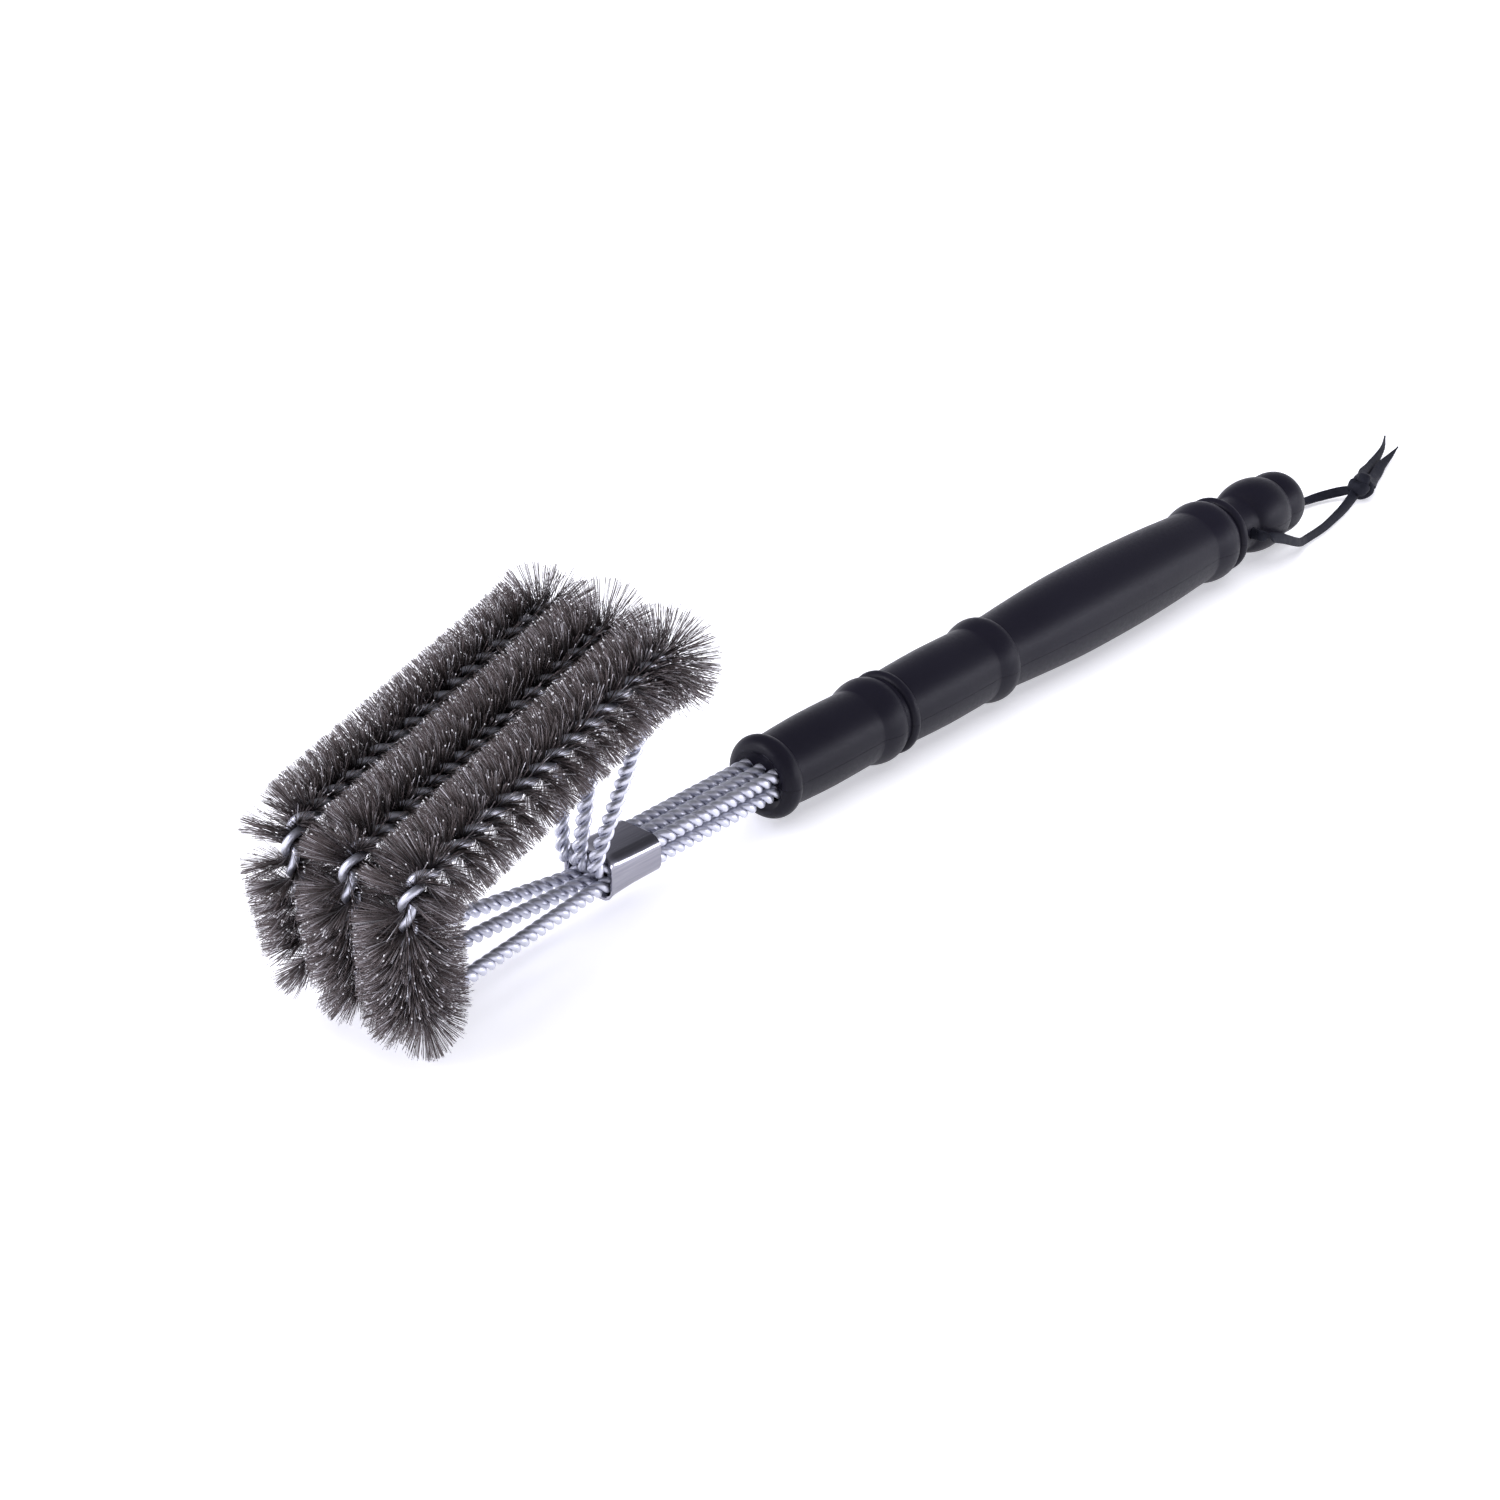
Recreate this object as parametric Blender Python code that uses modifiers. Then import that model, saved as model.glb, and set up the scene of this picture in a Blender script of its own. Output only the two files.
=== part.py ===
"""Grill cleaning brush: three bristled loops of twisted wire, a clamp sleeve, a two-shell handle and a lace.

Brush frame, in millimetres: x = 0 at the handle's front face and grows towards the hanging end, z = 0 on the
handle's parting plane, y to the far side. An empty moves that frame so that the part stands on z = 0.
"""
import math

import bmesh
import bpy
from mathutils import Vector

MM = 0.001
GAP = 0.3                      # left between solids that touch on the real brush

# Overall places
REST_HEIGHT = 14.55            # handle axis above the surface that the brush lies on
MIDDLE_X = 56.675              # middle of the length of the brush, without the lace

# Twisted strands (each is a pair of wires, kept here as one rod)
STRAND_RADIUS = 2.35
ROW_PITCH = 5.33               # sideways step between strands in the handle
ROW_HEIGHT = 2.7               # upper row above, lower row below, the parting plane
STRAND_END_X = 88.0
BEND_RADIUS = 7.0
CLAMP_BEND_RADIUS = 4.0
LEG_FOOT_X = -75.0             # where the lower legs leave the clamp
STRUT_FOOT_X = -76.0           # where the struts turn up in front of the clamp
NOSE_LOW = (-154.4, 18.2, 1.1)     # lower nose bend: x, sideways reach, z
NOSE_HIGH = (-158.5, 22.5, 40.3)   # upper nose corner
HEEL = (-60.8, 22.0, 72.8)         # bend at the rear of the long run

# Bristle banks
MAIN_RADIUS = 13.6
NOSE_RADIUS = 14.5
MAIN_START = 11.5              # from the upper nose corner, along the run
NOSE_START = 12.3              # from the same corner, down the nose
MAIN_END_BACK = 2.0            # round end's centre, short of the heel
NOSE_END_DROP = 1.05           # round end's centre, under the lower nose bend
BANK_STEPS = 24

# Clamp sleeve
CLAMP_X = (-71.75, -51.25)
BUNDLE_HALF = (2 * ROW_PITCH / 2 + STRAND_RADIUS, ROW_HEIGHT + STRAND_RADIUS)
CLAMP_CLEAR = 0.4
CLAMP_WALL = 1.15
CLAMP_ROUND = 2.0

# Handle
HANDLE_LENGTH = 285.0
HANDLE_STEPS = 40
MOUTH_CLEAR = 0.4
POCKET_X = (65.5, 100.5)
POCKET_HALF = (9.4, 6.8)
POCKET_ROUND = 2.5
HOLE_X = 251.0
HOLE_RADIUS = 2.15
LACE_RADIUS = 1.7
TAIL_RADIUS = 1.2
LACE_MOUTH_Y = 11.25           # where the lace leaves the cross hole

# Ferrule and pin inside the handle
FERRULE_X = (66.0, 100.0)
FERRULE_HALF = (9.0, 6.4)
FERRULE_ROUND = 2.2
FERRULE_FLOOR_X = 89.0
PIN_X = 94.5
PIN_RADIUS = 1.7
PIN_HALF = 10.0
PIN_CLEAR = 0.35

# Lace
KNOT_CENTRE = (333.6, -3.9, -9.5)
KNOT_RADII = (4.2, 4.2, 4.9)

SIDES = {"near": -1, "middle": 0, "far": 1}

LACE_NEAR = [(251.0, -11.3, 0.0), (251.0, -12.9, 0.0), (252.8, -15.0, -0.5), (256.6, -15.6, -1.7),
             (260.9, -15.7, -3.4), (265.8, -15.4, -5.7), (271.5, -14.6, -8.4), (278.0, -13.0, -11.1),
             (285.2, -11.3, -12.5), (297.5, -10.2, -12.8), (309.1, -8.2, -12.8), (318.9, -6.2, -12.6),
             (328.4, -4.0, -11.6)]
LACE_FAR = [(251.0, 11.3, 0.0), (251.0, 12.9, 0.0), (252.8, 15.0, -0.5), (256.6, 15.6, -1.7),
            (264.0, 15.7, -4.6), (275.0, 14.6, -8.6), (289.5, 12.2, -11.8), (303.5, 9.3, -12.8),
            (312.1, 8.1, -12.8), (320.8, 5.9, -12.5), (328.6, 1.8, -11.7)]
TAIL_ONE = [(338.7, -1.0, -9.0), (347.0, 3.2, -10.4), (358.0, 6.6, -12.1), (369.7, 10.4, -12.8),
            (380.0, 14.1, -12.8), (390.4, 19.4, -12.8)]
TAIL_TWO = [(338.9, -4.9, -10.4), (346.4, -1.4, -11.6), (354.0, 1.6, -12.6), (362.7, 4.7, -12.8),
            (373.8, 7.3, -12.8), (383.8, 9.8, -12.8)]


def clear_scene():
    for obj in list(bpy.data.objects):
        bpy.data.objects.remove(obj)


def new_collection(name):
    collection = bpy.data.collections.new(name)
    bpy.context.scene.collection.children.link(collection)
    return collection


def make_material(name, colour, roughness, metallic):
    material = bpy.data.materials.new(name)
    material.use_nodes = True
    shader = material.node_tree.nodes["Principled BSDF"]
    shader.inputs["Base Color"].default_value = (*colour, 1.0)
    shader.inputs["Roughness"].default_value = roughness
    shader.inputs["Metallic"].default_value = metallic
    material.diffuse_color = (*colour, 1.0)
    return material


def add_object(name, data, collection, material=None):
    obj = bpy.data.objects.new(name, data)
    collection.objects.link(obj)
    if material is not None:
        obj.data.materials.append(material)
    return obj


def add_cutter(name, data):
    cutter = add_object(name, data, cutters)
    cutter.display_type = "WIRE"
    cutter.hide_render = True
    return cutter


def combine(obj, cutter, operation="DIFFERENCE"):
    modifier = obj.modifiers.new(cutter.name, "BOOLEAN")
    modifier.operation = operation
    modifier.solver = "EXACT"
    modifier.object = cutter


def smooth(mesh, angle=35):
    mesh.shade_smooth()
    mesh.set_sharp_from_angle(angle=math.radians(angle))


def box_mesh(name, low, high, rounding=0.0):
    """A box between two corners, its four edges along x rounded."""
    size = [(b - a) * MM for a, b in zip(low, high)]
    middle = [(a + b) / 2 * MM for a, b in zip(low, high)]
    bm = bmesh.new()
    bmesh.ops.create_cube(bm, size=1.0)
    bmesh.ops.scale(bm, vec=size, verts=bm.verts)
    bmesh.ops.translate(bm, vec=middle, verts=bm.verts)
    if rounding:
        along_x = [e for e in bm.edges if abs((e.verts[0].co - e.verts[1].co).normalized().x) > 0.9]
        bmesh.ops.bevel(bm, geom=along_x, offset=rounding * MM, segments=4, profile=0.5, affect="EDGES")
    mesh = bpy.data.meshes.new(name)
    bm.to_mesh(mesh)
    bm.free()
    return mesh


def round_bar_mesh(name, centre, axis, radius, half_length, sides=16):
    """A cylinder about one axis."""
    bm = bmesh.new()
    turn = Vector((0, 0, 1)).rotation_difference(Vector(axis)).to_matrix().to_4x4()
    turn.translation = Vector(centre) * MM
    bmesh.ops.create_cone(bm, cap_ends=True, segments=sides, radius1=radius * MM, radius2=radius * MM,
                          depth=2 * half_length * MM, matrix=turn)
    mesh = bpy.data.meshes.new(name)
    bm.to_mesh(mesh)
    bm.free()
    return mesh


def turned(name, outline, steps, collection, material=None):
    """A turned solid about its own z axis: outline is (radius, z) from the top down, in millimetres."""
    mesh = bpy.data.meshes.new(name)
    points = [(radius * MM, 0.0, z * MM) for radius, z in outline]
    edges = [(i, i + 1) for i in range(len(points) - 1)]
    mesh.from_pydata(points, edges, [])
    obj = add_object(name, mesh, collection, material)
    screw = obj.modifiers.new("turn", "SCREW")
    screw.axis = "Z"
    screw.angle = 2 * math.pi
    screw.steps = steps
    screw.render_steps = steps
    screw.use_merge_vertices = True
    screw.merge_threshold = 0.00005
    screw.use_smooth_shade = True
    return obj


def filleted(corners, radii, turn_step=15.0):
    """A polyline with each inner corner rounded by an arc of the given radius."""
    points = [Vector(corners[0])]
    for before, corner, after, radius in zip(corners, corners[1:], corners[2:], radii):
        corner = Vector(corner)
        back = (Vector(before) - corner).normalized()
        on = (Vector(after) - corner).normalized()
        turn = math.pi - back.angle(on)
        reach = radius * math.tan(turn / 2)
        centre = corner + (back + on).normalized() * radius / math.cos(turn / 2)
        start = corner + back * reach - centre
        axis = back.cross(on).normalized() * -1
        steps = max(2, math.ceil(math.degrees(turn) / turn_step))
        for step in range(steps + 1):
            angle = turn * step / steps
            spoke = start * math.cos(angle) + axis.cross(start) * math.sin(angle)
            points.append(centre + spoke)
    points.append(Vector(corners[-1]))
    return points


def through(points, spacing):
    """Evenly spaced points on a Catmull-Rom curve through the given points."""
    knots = [Vector(p) for p in points]
    knots = [2 * knots[0] - knots[1]] + knots + [2 * knots[-1] - knots[-2]]
    dense = []
    for a, b, c, d in zip(knots, knots[1:], knots[2:], knots[3:]):
        for step in range(12):
            t = step / 12
            dense.append(0.5 * (2 * b + (c - a) * t + (2 * a - 5 * b + 4 * c - d) * t * t
                                + (3 * b - a - 3 * c + d) * t ** 3))
    dense.append(knots[-2])
    length = sum((q - p).length for p, q in zip(dense, dense[1:]))
    count = max(2, round(length / spacing))
    result = [dense[0]]
    walked = 0.0
    for p, q in zip(dense, dense[1:]):
        step = (q - p).length
        while len(result) < count and walked + step >= length * len(result) / count:
            result.append(p.lerp(q, (length * len(result) / count - walked) / step))
        walked += step
    result.append(dense[-1])
    return result


def tube_mesh(name, points, radius, resolution=2):
    """The mesh of a round tube along a polyline, its caps welded on."""
    curve = bpy.data.curves.new(name + "_line", "CURVE")
    curve.dimensions = "3D"
    curve.bevel_depth = radius * MM
    curve.bevel_resolution = resolution
    curve.use_fill_caps = True
    spline = curve.splines.new("POLY")
    spline.points.add(len(points) - 1)
    for spot, point in zip(spline.points, points):
        spot.co = (*(Vector(point) * MM), 1.0)
    holder = bpy.data.objects.new(name + "_line", curve)
    cutters.objects.link(holder)
    evaluated = holder.evaluated_get(bpy.context.evaluated_depsgraph_get())
    mesh = bpy.data.meshes.new_from_object(evaluated)
    mesh.name = name
    bpy.data.objects.remove(holder)
    bpy.data.curves.remove(curve)
    bm = bmesh.new()
    bm.from_mesh(mesh)
    bmesh.ops.remove_doubles(bm, verts=bm.verts, dist=0.00001)
    bmesh.ops.recalc_face_normals(bm, faces=bm.faces)
    bm.to_mesh(mesh)
    bm.free()
    smooth(mesh, 50)
    return mesh


def side_point(place, side):
    x, reach, z = place
    return Vector((x, reach * side, z))


def loop_points(side):
    """One strand pair's line: out of the handle, round the triangle and back into the handle."""
    y = ROW_PITCH * side
    corners = [
        (STRAND_END_X, y, -ROW_HEIGHT),
        (LEG_FOOT_X, y, -ROW_HEIGHT),
        side_point(NOSE_LOW, side),
        side_point(NOSE_HIGH, side),
        side_point(HEEL, side),
        (STRUT_FOOT_X, y, ROW_HEIGHT),
        (STRAND_END_X, y, ROW_HEIGHT),
    ]
    radii = [BEND_RADIUS, BEND_RADIUS, BEND_RADIUS, BEND_RADIUS, CLAMP_BEND_RADIUS]
    return filleted(corners, radii)


def make_loop(label, side):
    name = "wire_loop_" + label
    return add_object(name, tube_mesh(name, loop_points(side), STRAND_RADIUS), parts, steel)


def bank_axis(kind, side):
    """Start and round end of a bristle bank's axis."""
    corner = side_point(NOSE_HIGH, side)
    if kind == "main":
        heel = side_point(HEEL, side)
        run = (heel - corner).normalized()
        return corner + run * MAIN_START, heel - run * MAIN_END_BACK
    low = side_point(NOSE_LOW, side)
    down = (low - corner).normalized()
    return corner + down * NOSE_START, low - Vector((0, 0, NOSE_END_DROP))


def neighbour_cutter(name, kind, side, other):
    """A block whose face is the plane midway to the next bank."""
    start, end = bank_axis(kind, side)
    other_start, other_end = bank_axis(kind, other)
    middle = (start + end + other_start + other_end) / 4
    along = (end + other_end - start - other_start).normalized()
    across = (other_start + other_end - start - end).normalized()
    normal = (across - along * across.dot(along)).normalized()
    half = 60.0
    bm = bmesh.new()
    bmesh.ops.create_cube(bm, size=2 * half * MM)
    mesh = bpy.data.meshes.new(name)
    bm.to_mesh(mesh)
    bm.free()
    block = add_cutter(name, mesh)
    block.rotation_mode = "QUATERNION"
    block.rotation_quaternion = normal.to_track_quat("Z", "Y")
    block.location = (middle + normal * (half - GAP / 2)) * MM
    return block


def make_bank(kind, label, side):
    """A closed sleeve of bristle round the strand, with a round end and a tunnel for the strand."""
    name = f"{kind}_bristles_{label}"
    radius = MAIN_RADIUS if kind == "main" else NOSE_RADIUS
    start, end = bank_axis(kind, side)
    length = (end - start).length
    arc = [math.radians(90 - 90 * step / 6) for step in range(7)]
    outline = [(radius * math.cos(a), length + radius * math.sin(a)) for a in arc]
    outline[0] = (0.0, length + radius)
    outline += [(radius, 0.0), (0.0, 0.0)]
    bank = turned(name, outline, BANK_STEPS, parts, bristle)
    bank.rotation_mode = "QUATERNION"
    bank.rotation_quaternion = (end - start).to_track_quat("Z", "Y")
    bank.location = start * MM
    for other in (side - 1, side + 1):
        if abs(other) <= 1:
            combine(bank, neighbour_cutter(f"{name}_limit_{other + 1}", kind, side, other))
    combine(bank, bpy.data.objects["tunnel_" + label])


def make_head():
    for label, side in SIDES.items():
        make_loop(label, side)
        tunnel = tube_mesh("tunnel_" + label, loop_points(side), STRAND_RADIUS + GAP)
        add_cutter("tunnel_" + label, tunnel)
        make_bank("main", label, side)
        make_bank("nose", label, side)


def make_clamp():
    """The folded steel band that squeezes the six strands together."""
    inner = [half + CLAMP_CLEAR for half in BUNDLE_HALF]
    outer = [half + CLAMP_WALL for half in inner]
    front, rear = CLAMP_X
    body = box_mesh("clamp_sleeve", (front, -outer[0], -outer[1]), (rear, *outer), CLAMP_ROUND)
    smooth(body)
    sleeve = add_object("clamp_sleeve", body, parts, chrome)
    bore = box_mesh("clamp_bore", (front - 1, -inner[0], -inner[1]), (rear + 1, *inner),
                    CLAMP_ROUND - CLAMP_WALL + 0.3)
    combine(sleeve, add_cutter("clamp_bore", bore))


def bead(x, crest, minor, low_before, low_after, steps=7):
    """(x, radius) points over a turned bead, between the radii of the barrels beside it."""
    centre = crest - minor
    first = math.asin(min(1.0, (low_before - centre) / minor))
    last = math.asin(min(1.0, (low_after - centre) / minor))
    span = math.pi - first - last
    angles = [math.pi - first - span * step / steps for step in range(steps + 1)]
    return [(x + minor * math.cos(a), centre + minor * math.sin(a)) for a in angles]


def handle_outline():
    """(x, radius) points along the handle, from the dished front to the end disc."""
    dish_depth = 1.2
    flare = [(dish_depth, 0.0), (dish_depth, 8.0)] + bead(3.7, 13.2, 3.7, 9.6, 11.6, 10)
    barrel_one = [(16.0, 12.0), (25.6, 12.3), (36.0, 12.25), (45.1, 12.1)]
    rings_one = bead(51.0, 13.75, 3.9, 12.1, 11.6) + bead(59.3, 13.7, 1.9, 12.0, 12.1, 6)
    barrel_two = [(65.6, 12.3), (82.0, 12.8), (100.4, 12.5)]
    ring_two = bead(107.8, 14.05, 3.6, 12.4, 12.4)
    grip = [(116.8, 12.5), (128.0, 13.2), (143.5, 14.05), (155.0, 14.45), (166.0, REST_HEIGHT),
            (178.0, 14.5), (190.0, 14.3), (205.0, 13.8), (220.4, 13.0), (228.0, 12.5)]
    rings_three = bead(233.3, 14.25, 3.3, 12.4, 11.5) + bead(241.3, 13.4, 2.0, 11.9, 11.4, 6)
    neck = [(245.0, 9.9), (247.2, 9.4), (249.5, 9.8)]
    ball_centre, ball_radius = 264.6, 12.9
    ball = [(ball_centre - 13.0 * math.cos(a), 8.6 + (ball_radius - 8.6) * math.sin(a))
            for a in (math.radians(24 + 15 * step) for step in range(8))]
    disc = bead(280.6, 11.3, 3.6, 9.9, 8.6, 8)
    face = [(HANDLE_LENGTH, 8.2), (HANDLE_LENGTH, 0.0)]
    return flare + barrel_one + rings_one + barrel_two + ring_two + grip + rings_three + neck + ball + disc + face


def handle_cutters():
    mouth_half = [half + MOUTH_CLEAR for half in BUNDLE_HALF]
    mouth = box_mesh("handle_mouth", (-5.0, -mouth_half[0], -mouth_half[1]), (POCKET_X[0] + 1, *mouth_half), 1.5)
    pocket = box_mesh("ferrule_pocket", (POCKET_X[0], -POCKET_HALF[0], -POCKET_HALF[1]),
                      (POCKET_X[1], *POCKET_HALF), POCKET_ROUND)
    pin_pocket = round_bar_mesh("pin_pocket", (PIN_X, 0, 0), (0, 0, 1), PIN_RADIUS + PIN_CLEAR,
                                PIN_HALF + PIN_CLEAR)
    hole = round_bar_mesh("lace_hole", (HOLE_X, 0, 0), (0, 1, 0), HOLE_RADIUS, 20.0, 20)
    return [add_cutter(mesh.name, mesh) for mesh in (mouth, pocket, pin_pocket, hole)]


def make_handle():
    outline = [(radius, x) for x, radius in reversed(handle_outline())]
    hollows = handle_cutters()
    reach = 30.0
    ends = (-10.0, HANDLE_LENGTH + 10.0)
    halves = {
        "handle_upper_shell": (-reach, GAP / 2),
        "handle_lower_shell": (-GAP / 2, reach),
    }
    for name, (low, high) in halves.items():
        shell = turned(name, outline, HANDLE_STEPS, parts, plastic)
        shell.rotation_euler = (0, math.pi / 2, 0)
        away = box_mesh(name + "_other_half", (ends[0], -reach, low), (ends[1], reach, high))
        combine(shell, add_cutter(name + "_other_half", away))
        for cutter in hollows:
            combine(shell, cutter)


def make_ferrule():
    """The crimped collar on the strand ends, and the pin that keys it to both shells."""
    body = box_mesh("wire_end_ferrule", (FERRULE_X[0], -FERRULE_HALF[0], -FERRULE_HALF[1]),
                    (FERRULE_X[1], *FERRULE_HALF), FERRULE_ROUND)
    smooth(body)
    ferrule = add_object("wire_end_ferrule", body, parts, steel)
    bore_half = [half + GAP for half in BUNDLE_HALF]
    bore = box_mesh("ferrule_bore", (FERRULE_X[0] - 1, -bore_half[0], -bore_half[1]),
                    (FERRULE_FLOOR_X, *bore_half), 1.0)
    combine(ferrule, add_cutter("ferrule_bore", bore))
    pin_hole = round_bar_mesh("ferrule_pin_hole", (PIN_X, 0, 0), (0, 0, 1), PIN_RADIUS + PIN_CLEAR, 12.0)
    combine(ferrule, add_cutter("ferrule_pin_hole", pin_hole))
    pin = round_bar_mesh("retaining_pin", (PIN_X, 0, 0), (0, 0, 1), PIN_RADIUS, PIN_HALF)
    smooth(pin)
    add_object("retaining_pin", pin, parts, steel)


def make_lace():
    def lay(name, points, radius):
        line = [Vector(points[0])] + through(points[1:], 2.4 * radius)
        add_object(name, tube_mesh(name, line, radius), parts, leather)

    hole_half = LACE_MOUTH_Y - GAP
    lay("lace_in_hole", [(HOLE_X, -hole_half, 0), (HOLE_X, -5, 0), (HOLE_X, hole_half, 0)], LACE_RADIUS)
    lay("lace_near_side", LACE_NEAR, LACE_RADIUS)
    lay("lace_far_side", LACE_FAR, LACE_RADIUS)
    lay("lace_tail_one", TAIL_ONE, TAIL_RADIUS)
    lay("lace_tail_two", TAIL_TWO, TAIL_RADIUS)
    bm = bmesh.new()
    bmesh.ops.create_uvsphere(bm, u_segments=16, v_segments=10, radius=MM)
    bmesh.ops.scale(bm, vec=KNOT_RADII, verts=bm.verts)
    bmesh.ops.translate(bm, vec=Vector(KNOT_CENTRE) * MM, verts=bm.verts)
    mesh = bpy.data.meshes.new("lace_knot")
    bm.to_mesh(mesh)
    bm.free()
    smooth(mesh, 60)
    add_object("lace_knot", mesh, parts, leather)


clear_scene()
parts = new_collection("grill_cleaning_brush")
cutters = new_collection("cutters")
cutters.hide_render = True
steel = make_material("wire_steel", (0.40, 0.41, 0.45), 0.32, 1.0)
bristle = make_material("bristle_steel", (0.13, 0.11, 0.10), 0.45, 0.8)
chrome = make_material("clamp_chrome", (0.62, 0.61, 0.66), 0.12, 1.0)
plastic = make_material("handle_plastic", (0.022, 0.022, 0.030), 0.48, 0.0)
leather = make_material("lace_leather", (0.018, 0.019, 0.028), 0.62, 0.0)

make_head()
make_clamp()
make_handle()
make_ferrule()
make_lace()

stand = bpy.data.objects.new("brush_frame", None)
parts.objects.link(stand)
stand.location = (-MIDDLE_X * MM, 0.0, REST_HEIGHT * MM)
for obj in list(bpy.data.objects):
    if obj is not stand:
        obj.parent = stand
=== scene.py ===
import math

import bpy
import numpy as np
from mathutils import Matrix, Vector


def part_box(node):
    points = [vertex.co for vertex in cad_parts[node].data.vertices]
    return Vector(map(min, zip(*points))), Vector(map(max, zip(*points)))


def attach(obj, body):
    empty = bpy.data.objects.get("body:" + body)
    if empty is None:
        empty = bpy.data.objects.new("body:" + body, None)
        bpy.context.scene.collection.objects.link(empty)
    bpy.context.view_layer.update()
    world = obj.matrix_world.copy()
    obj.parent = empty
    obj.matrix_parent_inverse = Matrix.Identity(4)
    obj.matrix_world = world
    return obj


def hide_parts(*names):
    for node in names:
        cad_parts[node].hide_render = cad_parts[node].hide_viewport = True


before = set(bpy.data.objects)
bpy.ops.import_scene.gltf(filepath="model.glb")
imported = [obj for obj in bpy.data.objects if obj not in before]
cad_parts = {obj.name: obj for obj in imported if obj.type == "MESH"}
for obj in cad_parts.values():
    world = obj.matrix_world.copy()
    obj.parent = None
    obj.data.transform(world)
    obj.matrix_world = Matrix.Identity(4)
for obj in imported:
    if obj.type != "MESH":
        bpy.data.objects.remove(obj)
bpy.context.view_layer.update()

# ---------------------------------------------------------------------------------------------------------
# Brush frame: millimetres, x from the handle's front face towards the lace, z = 0 on the parting plane.
# The CAD frame is the same with its origin under the middle of the brush, so two lengths tie them together.
# ---------------------------------------------------------------------------------------------------------
MM = 0.001
REST_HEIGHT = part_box("handle_upper_shell")[1][2] / MM / 2
HANDLE_LENGTH = 285.0
MIDDLE_X = HANDLE_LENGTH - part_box("handle_upper_shell")[1][0] / MM

STRAND_RADIUS = 2.35
ROW_PITCH = 5.33
ROW_HEIGHT = 2.7
STRAND_END_X = 88.0
BEND_RADIUS = 7.0
HEEL_BEND_RADIUS = 3.5
CLAMP_BEND_RADIUS = 4.0
LEG_FOOT_X = -75.0
STRUT_FOOT_X = -76.0
NOSE_LOW = (-154.4, 18.2, 1.1)
NOSE_HIGH = (-158.5, 22.5, 40.3)
HEEL = (-60.8, 22.0, 72.8)
CLAMP_X = (-71.75, -51.25)
HOLE_X = 251.0
SIDES = {"near": -1, "middle": 0, "far": 1}


def to_frame(points):
    """Brush-frame millimetres to the CAD frame's metres."""
    return (np.asarray(points, float) + (-MIDDLE_X, 0.0, REST_HEIGHT)) * MM


# ---------------------------------------------------------------------------------------------------------
# Camera
# ---------------------------------------------------------------------------------------------------------
CAMERA_AZIMUTH = -48.736       # degrees, of the direction back towards the camera
CAMERA_ELEVATION = 27.666
CAMERA_ROLL = 0.115
CAMERA_DISTANCE = 882.46       # millimetres from the handle's front face, along the line of sight
CAMERA_SIDE = -2.271           # millimetres sideways and up from that point, so that it lies off centre
CAMERA_LIFT = 8.999


def make_camera():
    a, e, r = (math.radians(v) for v in (CAMERA_AZIMUTH, CAMERA_ELEVATION, CAMERA_ROLL))
    back = Vector((math.sin(a) * math.cos(e), -math.cos(a) * math.cos(e), math.sin(e)))
    level = Vector((math.cos(a), math.sin(a), 0.0))
    raised = back.cross(level)
    right = level * math.cos(r) + raised * math.sin(r)
    up = raised * math.cos(r) - level * math.sin(r)
    data = bpy.data.cameras.new("camera")
    data.lens = 72.0
    data.sensor_width = 36.0
    data.clip_start = 0.01
    data.clip_end = 50.0
    camera = bpy.data.objects.new("camera", data)
    bpy.context.scene.collection.objects.link(camera)
    place = back * CAMERA_DISTANCE + right * CAMERA_SIDE + up * CAMERA_LIFT
    turn = Matrix((right, up, back)).transposed().to_4x4()
    camera.matrix_world = Matrix.Translation(to_frame(place)) @ turn
    bpy.context.scene.camera = camera


make_camera()


# ---------------------------------------------------------------------------------------------------------
# Curves, sweeps and meshes
# ---------------------------------------------------------------------------------------------------------
def unit(v):
    return v / np.maximum(np.linalg.norm(v, axis=-1, keepdims=True), 1e-12)


def filleted(corners, radii, turn_step=2.5):
    """A dense polyline with each inner corner rounded by an arc."""
    corners = [np.asarray(c, float) for c in corners]
    points = [corners[0]]
    for before, corner, after, radius in zip(corners, corners[1:], corners[2:], radii):
        back, on = unit(before - corner), unit(after - corner)
        turn = math.pi - math.acos(float(np.clip(back @ on, -1, 1)))
        centre = corner + unit(back + on) * radius / math.cos(turn / 2)
        start = corner + back * radius * math.tan(turn / 2) - centre
        axis = -unit(np.cross(back, on))
        steps = max(2, math.ceil(math.degrees(turn) / turn_step))
        for angle in np.linspace(0.0, turn, steps + 1):
            points.append(centre + start * math.cos(angle) + np.cross(axis, start) * math.sin(angle))
    points.append(corners[-1])
    return np.array(points)


def through(points, dense=14):
    """A Catmull-Rom curve through the points, evenly spaced in its parameter."""
    k = np.asarray(points, float)
    k = np.vstack([2 * k[0] - k[1], k, 2 * k[-1] - k[-2]])
    t = (np.arange(dense) / dense)[:, None]
    runs = []
    for a, b, c, d in zip(k, k[1:], k[2:], k[3:]):
        square = 2 * a - 5 * b + 4 * c - d
        cube = 3 * b - a - 3 * c + d
        runs.append(0.5 * (2 * b + (c - a) * t + square * t ** 2 + cube * t ** 3))
    return np.vstack(runs + [k[-2:-1]])


def resampled(points, step):
    """The polyline at even spacing near step; returns its points and their distances along it."""
    along = np.concatenate([[0.0], np.cumsum(np.linalg.norm(np.diff(points, axis=0), axis=1))])
    count = max(2, round(along[-1] / step) + 1)
    s = np.linspace(0.0, along[-1], count)
    return np.stack([np.interp(s, along, points[:, i]) for i in range(3)], 1), s


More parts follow.
